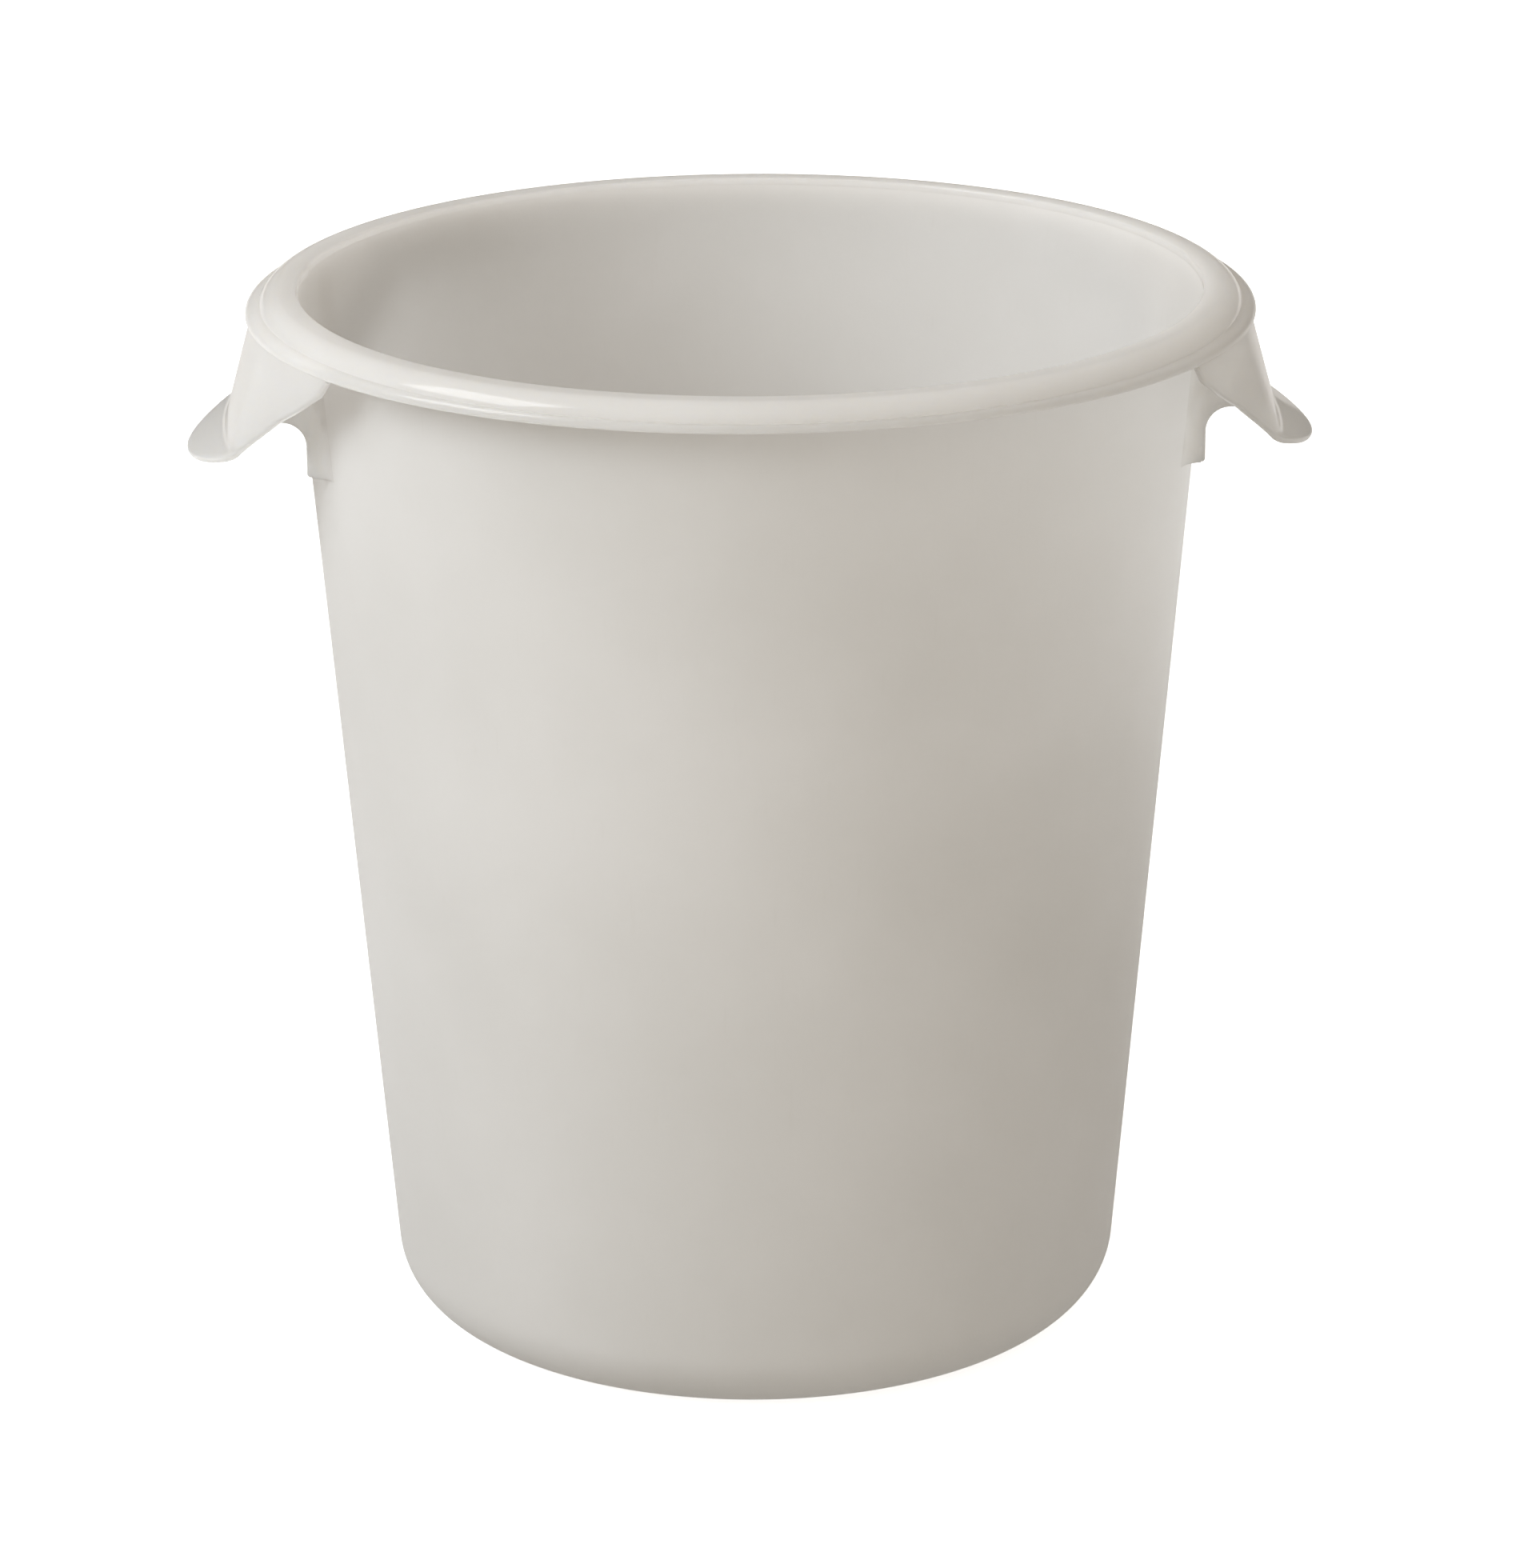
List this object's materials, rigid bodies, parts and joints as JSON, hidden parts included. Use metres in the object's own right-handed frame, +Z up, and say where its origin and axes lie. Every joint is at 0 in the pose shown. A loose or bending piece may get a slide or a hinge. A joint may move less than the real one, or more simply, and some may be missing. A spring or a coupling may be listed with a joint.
{
  "type": "wastebasket",
  "caption": "Round tapered plastic wastebasket with an open top, a rolled and beaded rim, and hooded finger grips on opposite sides under the rim.",
  "frame": {"origin": "centre of the flat foot that the wastebasket stands on", "axes": "+Z up through the mouth, +X through the middle of one grip, +Y across the grips towards the back"},
  "size_m": [0.374, 0.3248, 0.3556],
  "materials": {
    "satin_polyethylene": "satin, fine-grained, milky natural polyethylene",
    "glossy_polyethylene": "smooth, glossy, milky natural polyethylene"
  },
  "bodies": {
    "root": {"floor_panel": "satin_polyethylene", "base_ring": "satin_polyethylene", "side_wall": "satin_polyethylene", "rim_crown": "glossy_polyethylene", "rim_bead": "glossy_polyethylene", "left_grip_hood": "glossy_polyethylene", "left_grip_lip": "glossy_polyethylene", "left_grip_front_web": "glossy_polyethylene", "left_grip_rear_web": "glossy_polyethylene", "right_grip_hood": "glossy_polyethylene", "right_grip_lip": "glossy_polyethylene", "right_grip_front_web": "glossy_polyethylene", "right_grip_rear_web": "glossy_polyethylene"}
  },
  "joints": []
}
